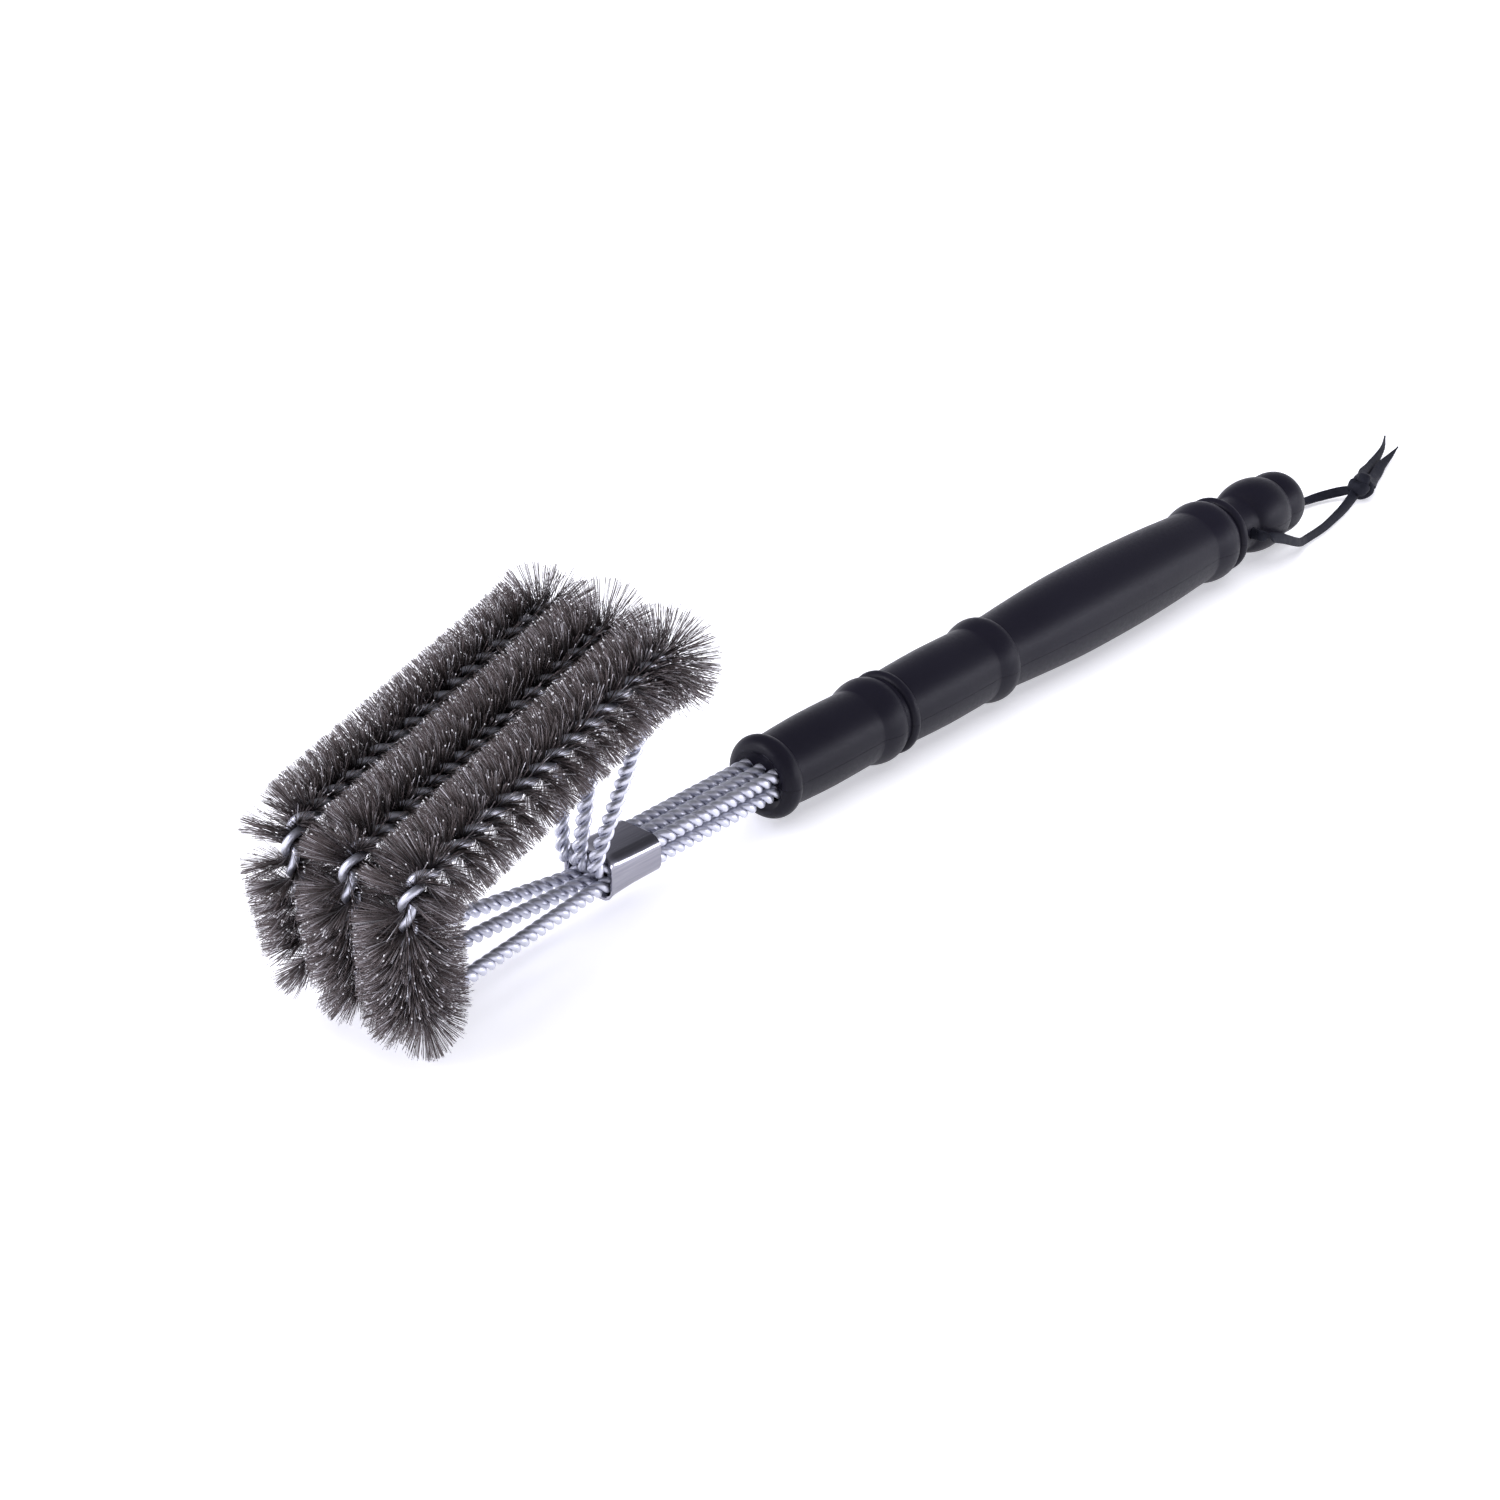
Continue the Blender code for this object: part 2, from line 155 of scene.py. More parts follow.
def frames(points, first=(0.0, 0.0, 1.0)):
    """Tangent, normal and binormal along a polyline, carried along without twist."""
    tangent = unit(np.gradient(points, axis=0))
    normal = np.empty_like(points)
    n = np.asarray(first, float)
    for i, t in enumerate(tangent):
        n = n - t * (n @ t)
        n = n / max(np.linalg.norm(n), 1e-12)
        normal[i] = n
    return tangent, normal, np.cross(tangent, normal)


def sweep(points, outline, normals=None):
    """Vertices and faces of a solid swept along points. outline is (sides, 2), or one such for each point."""
    tangent, normal, binormal = frames(points, normals[0] if normals is not None else (0.0, 0.0, 1.0))
    if normals is not None:
        normal = unit(normals - tangent * np.sum(normals * tangent, axis=1, keepdims=True))
        binormal = np.cross(tangent, normal)
    outline = np.broadcast_to(outline, (len(points),) + np.shape(outline)[-2:])
    rings = (points[:, None] + outline[:, :, :1] * normal[:, None] + outline[:, :, 1:] * binormal[:, None])
    count, sides = rings.shape[:2]
    index = np.arange(count * sides).reshape(count, sides)
    quads = np.stack([index[:-1], np.roll(index[:-1], -1, 1), np.roll(index[1:], -1, 1), index[1:]], -1)
    faces = quads.reshape(-1, 4).tolist() + [index[0][::-1].tolist(), index[-1].tolist()]
    return rings.reshape(-1, 3), faces


def circle(radius, sides):
    """A round section for sweep."""
    angle = np.arange(sides) * 2 * math.pi / sides
    return np.stack([np.cos(angle), np.sin(angle)], 1) * radius


def mesh_object(name, parts, material, sharp=40.0):
    """One object from (vertices in brush millimetres, faces) parts."""
    vertices, faces, shift = [], [], 0
    for v, f in parts:
        vertices.append(v)
        faces += [[i + shift for i in face] for face in f]
        shift += len(v)
    mesh = bpy.data.meshes.new(name)
    mesh.from_pydata(to_frame(np.vstack(vertices)).tolist(), [], faces)
    mesh.shade_smooth()
    mesh.set_sharp_from_angle(angle=math.radians(sharp))
    obj = bpy.data.objects.new(name, mesh)
    bpy.context.scene.collection.objects.link(obj)
    obj.data.materials.append(material)
    return obj


def stand_for(obj, slot, *nodes):
    """Puts a piece on the brush's one body and hides the CAD nodes whose place it takes."""
    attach(obj, "root")
    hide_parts(*nodes)


# ---------------------------------------------------------------------------------------------------------
# Materials
# ---------------------------------------------------------------------------------------------------------
class Nodes:
    """A short way to wire one Principled material."""

    def __init__(self, name, roughness, metallic=0.0, **values):
        self.material = bpy.data.materials.new(name)
        self.material.use_nodes = True
        self.tree = self.material.node_tree
        self.shader = self.tree.nodes["Principled BSDF"]
        self.put("Roughness", roughness)
        self.put("Metallic", metallic)
        for key, value in values.items():
            self.put(key.replace("_", " "), value)
        self.place = self.add("ShaderNodeTexCoord").outputs["Object"]

    def put(self, socket, value):
        self.shader.inputs[socket].default_value = value

    def add(self, kind, **inputs):
        node = self.tree.nodes.new(kind)
        for key, value in inputs.items():
            self.feed(node.inputs[key], value)
        return node

    def feed(self, socket, value):
        if isinstance(value, bpy.types.NodeSocket):
            self.tree.links.new(value, socket)
        else:
            socket.default_value = value

    def noise(self, scale, detail=2.0, rough=0.5, vector=None):
        return self.add("ShaderNodeTexNoise", Vector=vector or self.place, Scale=scale, Detail=detail,
                        Roughness=rough).outputs["Fac"]

    def stretched(self, x, y, z):
        return self.add("ShaderNodeMapping", Vector=self.place, Scale=(x, y, z)).outputs["Vector"]

    def spread(self, value, low, high, to_low, to_high):
        node = self.add("ShaderNodeMapRange", Value=value)
        for key, number in (("From Min", low), ("From Max", high), ("To Min", to_low), ("To Max", to_high)):
            node.inputs[key].default_value = number
        return node.outputs["Result"]

    def ramp(self, value, *stops):
        node = self.add("ShaderNodeValToRGB", Fac=value)
        ramp = node.color_ramp
        while len(ramp.elements) < len(stops):
            ramp.elements.new(0.5)
        for element, (place, colour) in zip(ramp.elements, stops):
            element.position = place
            element.color = (*colour, 1.0)
        return node.outputs["Color"]

    def bump(self, height, strength, distance, under=None):
        node = self.add("ShaderNodeBump", Height=height, Strength=strength, Distance=distance)
        if under is not None:
            self.tree.links.new(under, node.inputs["Normal"])
        return node.outputs["Normal"]

    def use(self, **sockets):
        for key, value in sockets.items():
            self.feed(self.shader.inputs[key.replace("_", " ")], value)
        return self.material


def handle_plastic():
    n = Nodes("handle_plastic", 0.40, Specular_IOR_Level=0.14)
    broad = n.noise(18.0, 3.0)
    grain = n.noise(5200.0, 2.0, 0.6)
    colour = n.ramp(broad, (0.3, (0.0062, 0.0056, 0.0105)), (0.7, (0.0085, 0.0078, 0.0140)))
    rough = n.spread(n.noise(900.0, 3.0), 0.3, 0.7, 0.36, 0.46)
    return n.use(Base_Color=colour, Roughness=rough, Normal=n.bump(grain, 0.22, 0.00012))


def wire_steel():
    n = Nodes("wire_steel", 0.42, 0.9)
    patches = n.noise(260.0, 4.0, 0.6)
    fine = n.noise(3800.0, 2.0)
    colour = n.ramp(patches, (0.3, (0.56, 0.57, 0.65)), (0.7, (0.76, 0.77, 0.85)))
    rough = n.spread(patches, 0.3, 0.7, 0.36, 0.48)
    return n.use(Base_Color=colour, Roughness=rough, Normal=n.bump(fine, 0.15, 0.00008))


def bristle_steel():
    n = Nodes("bristle_steel", 0.36, 0.65)
    island = n.add("ShaderNodeNewGeometry").outputs["Random Per Island"]
    colour = n.ramp(island, (0.0, (0.062, 0.049, 0.047)), (0.5, (0.120, 0.098, 0.096)),
                    (0.82, (0.23, 0.205, 0.21)), (0.95, (0.44, 0.42, 0.44)), (1.0, (0.75, 0.73, 0.77)))
    rough = n.spread(island, 0.0, 1.0, 0.50, 0.30)
    return n.use(Base_Color=colour, Roughness=rough)


def glint_paint_material():
    """Painted glints: near-white ends put on some bristles to stand for the glints of light on the steel."""
    n = Nodes("glint_paint_material", 0.3, 0.1)
    island = n.add("ShaderNodeNewGeometry").outputs["Random Per Island"]
    # Near-white colour for the painted glints.
    colour = n.ramp(island, (0.0, (0.70, 0.69, 0.71)), (1.0, (0.96, 0.95, 0.97)))
    return n.use(Base_Color=colour)


def clamp_chrome():
    n = Nodes("clamp_chrome", 0.16, 1.0)
    brush = n.noise(60.0, 3.0, 0.5, n.stretched(1.0, 30.0, 30.0))
    colour = n.ramp(brush, (0.3, (0.27, 0.266, 0.31)), (0.7, (0.34, 0.336, 0.38)))
    rough = n.spread(brush, 0.3, 0.7, 0.09, 0.16)
    return n.use(Base_Color=colour, Roughness=rough, Normal=n.bump(brush, 0.05, 0.0001))


def lace_leather():
    n = Nodes("lace_leather", 0.62, Specular_IOR_Level=0.14)
    grain = n.add("ShaderNodeTexVoronoi", Vector=n.place, Scale=1900.0).outputs["Distance"]
    patches = n.noise(420.0, 4.0)
    colour = n.ramp(patches, (0.3, (0.0065, 0.0070, 0.0115)), (0.7, (0.0135, 0.0145, 0.0225)))
    rough = n.spread(patches, 0.3, 0.7, 0.5, 0.72)
    return n.use(Base_Color=colour, Roughness=rough, Normal=n.bump(grain, 0.35, 0.00012))


PLASTIC = handle_plastic()
STEEL = wire_steel()
BRISTLE = bristle_steel()
GLINT_PAINT = glint_paint_material()
CHROME = clamp_chrome()
LEATHER = lace_leather()

# ---------------------------------------------------------------------------------------------------------
# Lace: a flat leather strip through the cross hole, its two ends tied in one knot
# ---------------------------------------------------------------------------------------------------------
LACE_WIDTH = 4.1
LACE_THICK = 1.3
LACE_NEAR = [(251.0, -11.3, 0.0), (251.0, -12.9, 0.0), (252.8, -15.0, -0.5), (256.6, -15.6, -1.7),
             (260.9, -15.7, -3.4), (265.8, -15.4, -5.7), (271.5, -14.6, -8.4), (278.0, -13.0, -11.1),
             (285.2, -11.3, -12.5), (297.5, -10.2, -12.8), (309.1, -8.2, -12.8), (318.9, -6.2, -12.6),
             (328.4, -4.0, -11.6)]
LACE_FAR = [(251.0, 11.3, 0.0), (251.0, 12.9, 0.0), (252.8, 15.0, -0.5), (256.6, 15.6, -1.7),
            (264.0, 15.7, -4.6), (275.0, 14.6, -8.6), (289.5, 12.2, -11.8), (303.5, 9.3, -12.8),
            (312.1, 8.1, -12.8), (320.8, 5.9, -12.5), (328.6, 1.8, -11.7)]
TAIL_ONE = [(338.7, -1.0, -9.0), (347.0, 3.2, -10.4), (358.0, 6.6, -12.1), (369.7, 10.4, -12.8),
            (380.0, 14.1, -12.8), (390.4, 19.4, -12.8)]
TAIL_TWO = [(338.9, -4.9, -10.4), (346.4, -1.4, -11.6), (354.0, 1.6, -12.6), (362.7, 4.7, -12.8),
            (373.8, 7.3, -12.8), (383.8, 9.8, -12.8)]
KNOT_CENTRE = (333.6, -3.9, -9.5)
KNOT_ENTRY = (331.6, -3.4, -10.2)      # both sides of the lace run on to here, inside the knot
KNOT_SIZE = (1.15, 1.15, 1.75)         # scale of the knot's curve
KNOT_TURN = (68, 25)                   # degrees about x, after degrees about z
KNOT_STRIP = (4.9, 2.9)                # the pulled-tight strip's width and thickness
TIP_WIDTH = 0.15                       # share of the width that is left at a tail's point


def strip_outline(width, thick):
    """A flat strip's section, its edges rounded: (across the strip, along its normal)."""
    half, r = width / 2, thick / 2
    turn = np.radians([60, 20, -20, -60])
    right = [(r * math.sin(a), half - r + r * math.cos(a)) for a in turn]
    middle = [(-r, half * 0.3), (-r, -half * 0.3)]
    left = [(-y, -x) for y, x in right]
    back = [(r, -half * 0.3), (r, half * 0.3)]
    return np.array(right + middle + left + back)


def strip(name, route, normals, nodes, width=LACE_WIDTH, point_from=None, waist=1.0):
    """A lace strip along a route, with its path and length. Its flat face looks along normals, in turn.

    waist is the width's share midway, and a strip with point_from tapers from that share of its length on.
    """
    line = through(route)
    points, s = resampled(line, 0.7)
    keys = np.linspace(0.0, 1.0, len(normals))
    look = unit(np.stack([np.interp(s / s[-1], keys, [n[i] for n in normals]) for i in range(3)], 1))
    outline = np.repeat(strip_outline(width, LACE_THICK)[None], len(points), 0)
    middle = np.sin(np.pi * s / s[-1])[:, None]
    outline[:, :, 1] *= 1.0 + (waist - 1.0) * middle
    if point_from is not None:
        taper = np.clip((1.0 - s / s[-1]) / (1.0 - point_from), 0.0, 1.0) ** 0.75
        outline[:, :, 1] *= np.maximum(taper, TIP_WIDTH)[:, None]
        outline[:, :, 0] *= (0.45 + 0.55 * taper)[:, None]
    obj = mesh_object(name, [sweep(points, outline, look)], LEATHER, 50.0)
    stand_for(obj, "lace_leather", *nodes)
    return obj, to_frame(points), s[-1] * MM


def knot_strands():
    """A tight overhand knot: a flat strip along a trefoil, turned so that its crossings face the camera."""
    t = np.linspace(0.0, 2 * math.pi, 121)
    x = np.sin(t) + 2 * np.sin(2 * t)
    y = np.cos(t) - 2 * np.cos(2 * t)
    trefoil = np.stack([x, y, -1.25 * np.sin(3 * t)], 1)
    tip, spin = (math.radians(v) for v in KNOT_TURN)
    turn = np.array(Matrix.Rotation(tip, 3, "X") @ Matrix.Rotation(spin, 3, "Z"))
    points = (trefoil * KNOT_SIZE) @ turn.T + KNOT_CENTRE
    look = unit(points - KNOT_CENTRE)
    return sweep(points, strip_outline(*KNOT_STRIP), look)


def make_lace():
    near, near_path, near_length = strip(
        "lace_near_side_strip", LACE_NEAR + [KNOT_ENTRY],
        [(1.0, 0.0, 0.0), (0.2, -0.95, 0.2), (0.1, -0.95, 0.3), (0.1, -0.9, 0.45), (0.1, -0.8, 0.6),
         (0.1, -0.7, 0.7), (0.0, -0.8, 0.6)], ["lace_near_side"], waist=0.75)
    far, far_path, far_length = strip(
        "lace_far_side_strip", LACE_FAR + [KNOT_ENTRY],
        [(1.0, 0.0, 0.0), (0.2, 0.95, 0.2), (0.1, 0.8, 0.5), (0.0, 0.6, 0.8), (0.0, 0.2, 0.98),
         (0.0, -0.5, 0.85), (0.0, -0.7, 0.7)], ["lace_far_side"], waist=0.85)
    strip("lace_in_hole_strip", [(HOLE_X, y, 0.0) for y in (-11.0, -4.0, 4.0, 11.0)],
          [(1.0, 0.0, 0.0), (1.0, 0.0, 0.0)], ["lace_in_hole"])
    knot = mesh_object("lace_knot_wraps", [knot_strands()], LEATHER, 50.0)
    stand_for(knot, "lace_leather", "lace_knot")
    one, one_path, one_length = strip("lace_tail_one_strip", TAIL_ONE, [(0.2, -0.6, 0.8), (0.3, -0.75, 0.6)],
                                      ["lace_tail_one"], 4.0, 0.45)
    two, two_path, two_length = strip("lace_tail_two_strip", TAIL_TWO, [(0.2, -0.5, 0.85), (0.2, -0.4, 0.9)],
                                      ["lace_tail_two"], 4.4, 0.45)


make_lace()

# ---------------------------------------------------------------------------------------------------------
# Twisted wire loops
# ---------------------------------------------------------------------------------------------------------
WIRE_RADIUS = 1.18
OPENED = 1.12                  # the wires lie this much further apart where they grip bristles
LINE_STEP = 0.4
TWIST_SMOOTHING = 4            # line steps on each side

# Where the front wire crosses the strand on the side that faces LOBE_SIDE: stretches of (origin, first lobe,
# last lobe, lobe spacings between them), in millimetres. "start" counts from the strand's lower end, "corner"
# from the upper nose corner, and "end" back from the strand's upper end.
LOBE_SIDE = (-0.6657, -0.5842, 0.4643)
LOBE_SPACING = 6.0             # usual spacing near the corner, to count lobes across a gap there
HIDDEN_SPACING = 3.83          # and elsewhere
LOBES = {
    "near": [("start", 91.4, 133.8, 11), ("start", 171.6, 228.6, 15), ("corner", -30.8, -13.4, 3),
             ("corner", -7.6, -0.4, 1), ("corner", 5.5, 5.5, 0), ("corner", 11.3, 92.5, 13),
             ("end", 212.0, 173.7, 10), ("end", 133.6, 92.7, 11)],
    "middle": [("start", 93.0, 134.5, 11), ("start", 171.7, 226.4, 15), ("corner", -30.8, -13.4, 3),
               ("corner", -7.4, 0.3, 1), ("corner", 6.9, 6.9, 0), ("corner", 12.1, 52.8, 8),
               ("corner", 58.6, 93.5, 6), ("end", 133.9, 92.6, 11)],
    "far": [("start", 92.7, 134.5, 11), ("start", 171.4, 227.1, 16), ("corner", -30.8, -13.4, 3),
            ("corner", -7.8, -0.8, 1), ("corner", 5.7, 92.3, 15),
            ("end", 134.9, 92.8, 12)],
}


class Strand:
    """One loop's centre line, with its frames, the twist of its wires and the places of its bends."""

    def __init__(self, label):
        side = SIDES[label]
        y = ROW_PITCH * side
        places = [(x, reach * side, z) for x, reach, z in (NOSE_LOW, NOSE_HIGH, HEEL)]
        corners = [(STRAND_END_X, y, -ROW_HEIGHT), (LEG_FOOT_X, y, -ROW_HEIGHT), *places,
                   (STRUT_FOOT_X, y, ROW_HEIGHT), (STRAND_END_X, y, ROW_HEIGHT)]
        radii = [BEND_RADIUS] * 3 + [HEEL_BEND_RADIUS, CLAMP_BEND_RADIUS]
        self.points, self.s = resampled(filleted(corners, radii), LINE_STEP)
        self.tangent, self.normal, self.binormal = frames(self.points)
        self.nose, self.corner, self.heel = (
            self.s[np.argmin(np.linalg.norm(self.points - p, axis=1))] for p in places)
        self.twist = self.twist_of(LOBES[label])

    def twist_of(self, stretches):
        """The angle of one wire round the strand, from the places where the wires cross."""
        places, counts = [], []
        for origin, first, last, steps in stretches:
            run = np.linspace(first, last, steps + 1)
            run = {"start": run, "corner": self.corner + run, "end": self.s[-1] - run}[origin]
            begin = 0
            if places:
                gap = run[0] - places[-1]
                spacing = LOBE_SPACING if origin == "corner" else HIDDEN_SPACING
                begin = counts[-1] + max(1, round(gap / spacing))
            places += list(run)
            counts += list(begin + np.arange(steps + 1))
        facing = np.unwrap(np.arctan2(self.binormal @ LOBE_SIDE, self.normal @ LOBE_SIDE))
        twist = np.interp(places, self.s, facing) + math.pi * np.array(counts)
        ends = [self.s[0], self.s[-1]]
        rate = math.pi / HIDDEN_SPACING
        first = twist[0] - rate * (places[0] - ends[0])
        last = twist[-1] + rate * (ends[1] - places[-1])
        even = np.interp(self.s, [ends[0], *places, ends[1]], [first, *twist, last])
        padded = np.pad(even, TWIST_SMOOTHING, mode="reflect", reflect_type="odd")
        window = 2 * TWIST_SMOOTHING + 1
        return np.convolve(padded, np.ones(window) / window, "valid")

    def at(self, s, angle):
        """Points on the line, tangents and outward directions at an angle round it."""
        def pick(a):
            return np.stack([np.interp(s, self.s, a[:, i]) for i in range(3)], -1)

        up, across = unit(pick(self.normal)), unit(pick(self.binormal))
        out = up * np.cos(angle)[:, None] + across * np.sin(angle)[:, None]
        return pick(self.points), unit(pick(self.tangent)), unit(out)

    def wires(self):
        """The two wires, half a turn apart, as mesh parts."""
        spread = WIRE_RADIUS * np.interp(self.s, [self.nose - 5, self.nose, self.heel, self.heel + 6],
                                         [1.0, OPENED, OPENED, 1.0])
        result = []
        for half in (0.0, math.pi):
            angle = (self.twist + half)[:, None]
            out = np.cos(angle) * self.normal + np.sin(angle) * self.binormal
            result.append(sweep(self.points + spread[:, None] * out, circle(WIRE_RADIUS, 10)))
        return result


STRANDS = {label: Strand(label) for label in SIDES}


def make_wires():
    for label, strand in STRANDS.items():
        pair = mesh_object(f"twisted_wires_{label}", strand.wires(), STEEL, 60.0)
        stand_for(pair, "wire_steel", f"wire_loop_{label}")


make_wires()

# ---------------------------------------------------------------------------------------------------------
# Bristles
# ---------------------------------------------------------------------------------------------------------
HEEL_REACH = 8.0               # how far the bristles go on past the heel, along the wire
LEG_REACH = 5.0                # and past the lower nose bend, along the leg
BRISTLE_RADIUS = 0.094
RADIUS_RANGE = (0.7, 1.15)
RING_SCALES = (1.0, 0.95, 0.85)           # of the radius at a bristle's root, middle and tip
FAN = 11.0                                # degrees of spread round the wire, on each side of the twist's gap
LEAN = 6.3                                # and along it
MAIN_TIP = {"near": 13.9, "middle": 13.9, "far": 12.9}    # from the wire's line to the bristle tips
NOSE_TIP = {"near": 14.4, "middle": 14.4, "far": 14.0}
LENGTH_SPREAD = 0.25
LENGTH_LOSS = 0.3
STRAY_SHARE = 0.04
STRAY_LENGTH = (0.3, 0.6)                 # mean and spread of what is added to a stray bristle
BOW = 0.10
ROOT_OFFSET = 0.2                         # of the roots from the wire's line
PER_MM = 96
THIN_SPAN = (-9.5, 2.5)        # stretch with fewer bristles, from the upper nose corner
CORNER_PARTING = (35.0, 75.0)  # degrees from LOBE_SIDE there
THIN_AT_CORNER = (0.12, 0.62)  # share of the bristles that is left at those angles
END_GROWTH = 1.12              # the bristles at the heel are this much longer
GROWTH_SPAN = (-8.0, -2.0)     # stretch over which they grow, from the heel
PARTING = 25.0                 # degrees on each side of LOBE_SIDE over which the long runs are worn thin
PARTED_SHARE = 0.3             # share of the bristles that is left at its middle
PARTING_FROM = 9.0             # the wear starts this far past the corner
PARTING_TO = -6.0              # and ends here, from the heel
PAINTED_GLINT_SHARE = 0.06             # share of the bristles that get a painted glint at their end
PAINTED_GLINT_SIZE = (0.50, 0.20)         # length and radius of such a painted glint end
rng = np.random.default_rng(457)


def bristle_mesh(name, roots, middles, tips, radius, is_painted_glint):
    """Many thin closed three-sided bristles in one mesh, the painted glint ends in the second material."""
    count = len(roots)
    along = unit(tips - roots)
    side = unit(np.cross(along, rng.normal(size=(count, 3))))
    other = np.cross(along, side)
    rings = []
    for place, scale in zip((roots, middles, tips), RING_SCALES):
        for k in range(3):
            a = 2 * math.pi * k / 3
            out = side * math.cos(a) + other * math.sin(a)
            rings.append(place + out * (radius * scale)[:, None])
    vertices = to_frame(np.stack(rings, 1).reshape(-1, 3))
    quads = np.array([[0, 1, 4, 3], [1, 2, 5, 4], [2, 0, 3, 5], [3, 4, 7, 6], [4, 5, 8, 7], [5, 3, 6, 8]])
    caps = np.array([[2, 1, 0], [6, 7, 8]])
    base = (np.arange(count) * 9)[:, None, None]
    corners = np.concatenate([(base + quads).ravel(), (base + caps).ravel()]).astype(np.int32)
    quad_count, cap_count = count * len(quads), count * len(caps)
    starts = np.concatenate([np.arange(quad_count) * 4, quad_count * 4 + np.arange(cap_count) * 3])
    mesh = bpy.data.meshes.new(name)
    mesh.vertices.add(len(vertices))
    mesh.vertices.foreach_set("co", vertices.ravel())
    mesh.loops.add(len(corners))
    mesh.loops.foreach_set("vertex_index", corners)
    mesh.polygons.add(len(starts))
    mesh.polygons.foreach_set("loop_start", starts.astype(np.int32))
    mesh.materials.append(BRISTLE)
    # Second slot: the painted glints.
    mesh.materials.append(GLINT_PAINT)
    slots = np.concatenate([np.repeat(is_painted_glint, len(quads)), np.repeat(is_painted_glint, len(caps))])
    mesh.polygons.foreach_set("material_index", slots.astype(np.int32))
    mesh.update(calc_edges=True)
    mesh.validate()
    obj = bpy.data.objects.new(name, mesh)
    bpy.context.scene.collection.objects.link(obj)
    return obj


def bristles(strand, begin, end, reach):
    """Bristles pinched between the wires from begin to end, then painted glint ends on some of them.

    Returns roots, middles, tips, radii and which ones are painted glint ends.
    """
    count = round((end - begin) * PER_MM)
    s = begin + (end - begin) * (np.arange(count) + rng.random(count)) / count
    off = s - strand.corner
    half = rng.integers(0, 2, count) * math.pi
    fan = np.radians(rng.normal(0, FAN, count))
    angle = np.interp(s, strand.s, strand.twist) + math.pi / 2 + half + fan
    place, tangent, out = strand.at(s, angle)
    facing = np.array(LOBE_SIDE) - tangent * (tangent @ LOBE_SIDE)[:, None]
    apart = np.degrees(np.arccos(np.clip(np.sum(unit(facing) * out, axis=1), -1.0, 1.0)))
    at_corner = (off > THIN_SPAN[0]) & (off < THIN_SPAN[1])
    kept = rng.random(count) < np.where(at_corner, np.interp(apart, CORNER_PARTING, THIN_AT_CORNER), 1.0)
    share = np.interp(apart, [PARTING * 0.5, PARTING], [PARTED_SHARE, 1.0])
    kept &= (rng.random(count) < share) | (off < PARTING_FROM) | (s > strand.heel + PARTING_TO)
    place, tangent, out, s = place[kept], tangent[kept], out[kept], s[kept]
    count = len(s)
    tilt = np.tan(np.radians(rng.normal(0, LEAN, count)))
    length = reach + rng.normal(0, LENGTH_SPREAD, count) - np.abs(rng.normal(0, LENGTH_LOSS, count))
    length = length * np.interp(s - strand.heel, GROWTH_SPAN, [1.0, END_GROWTH])
    stray = rng.random(count) < STRAY_SHARE
    length = np.where(stray, length + rng.normal(*STRAY_LENGTH, count), length)
    bow = rng.normal(0, BOW, (count, 3))
    roots = place + out * ROOT_OFFSET
    tips = place + (out + tangent * tilt[:, None]) * length[:, None]
    middles = (roots + tips) / 2 + bow - out * np.sum(bow * out, axis=1, keepdims=True)
    radius = BRISTLE_RADIUS * rng.uniform(*RADIUS_RANGE, count)
    # Painted glints: short, thick near-white ends on a share of the bristles.
    glinting = rng.random(count) < PAINTED_GLINT_SHARE
    end = tips[glinting]
    along = unit(tips - middles)[glinting] * PAINTED_GLINT_SIZE[0]
    roots = np.concatenate([roots, end - along])
    middles = np.concatenate([middles, end - along / 2])
    tips = np.concatenate([tips, end + along * 0.1])
    radius = np.concatenate([radius, np.full(len(end), PAINTED_GLINT_SIZE[1])])
    is_painted_glint = np.arange(len(roots)) >= count
    return roots, middles, tips, radius, is_painted_glint


def make_bristles():
    """Each loop's nose bank in one piece, and its main bank in two."""
    for label, strand in STRANDS.items():
        banks = [("nose", strand.nose - LEG_REACH, strand.corner, NOSE_TIP[label], 1),
                 ("main", strand.corner, strand.heel + HEEL_REACH, MAIN_TIP[label], 2)]
        for kind, start, stop, reach, count in banks:
            cuts = np.linspace(start, stop, count + 1)
            for k, (a, b) in enumerate(zip(cuts, cuts[1:])):
                bank = bristle_mesh(f"{kind}_bristles_{label}_{k + 1}", *bristles(strand, a, b, reach))
                stand_for(bank, "bristle_steel", f"{kind}_bristles_{label}")


make_bristles()

# ---------------------------------------------------------------------------------------------------------
# Handle
# ---------------------------------------------------------------------------------------------------------
HANDLE_TURN_STEPS = 144
SEAM = 0.09                    # gap between the two shells
BORE_DEPTH = 60.0              # of the mouth that the strands run into
BORE_CLEARANCE = 0.22
LACE_HOLE_RADIUS = 2.15
BEYOND = 30.0                  # a cutting block reaches this far, past every side of the handle


def bead(x, crest, minor, low_before, low_after, steps=16):
    """(x, radius) points over a turned bead, between the radii of the barrels beside it."""
    centre = crest - minor
    first = math.asin(min(1.0, (low_before - centre) / minor))
    last = math.asin(min(1.0, (low_after - centre) / minor))
    angles = np.linspace(math.pi - first, last, steps + 1)
    return [(x + minor * math.cos(a), centre + minor * math.sin(a)) for a in angles]


def swell(start, start_radius, x, crest, end, end_radius, steps=12):
    """(x, radius) points over a bead that starts at a crisp lip, swells slowly and rounds off quickly."""
    rise, fall = [], []
    for v in np.linspace(0.0, 1.0, steps + 1):
        up = math.sin(v * math.pi / 2)
        down = math.cos(v * math.pi / 2)
        rise.append((start + (x - start) * v, start_radius + (crest - start_radius) * up))
        fall.append((x + (end - x) * up, end_radius + (crest - end_radius) * down))
    return rise + fall[1:]


def fair(points, steps=6):
    """A smooth run through (x, radius) points."""
    line = through([(x, r, 0.0) for x, r in points], steps)
    return [(x, r) for x, r, _ in line]


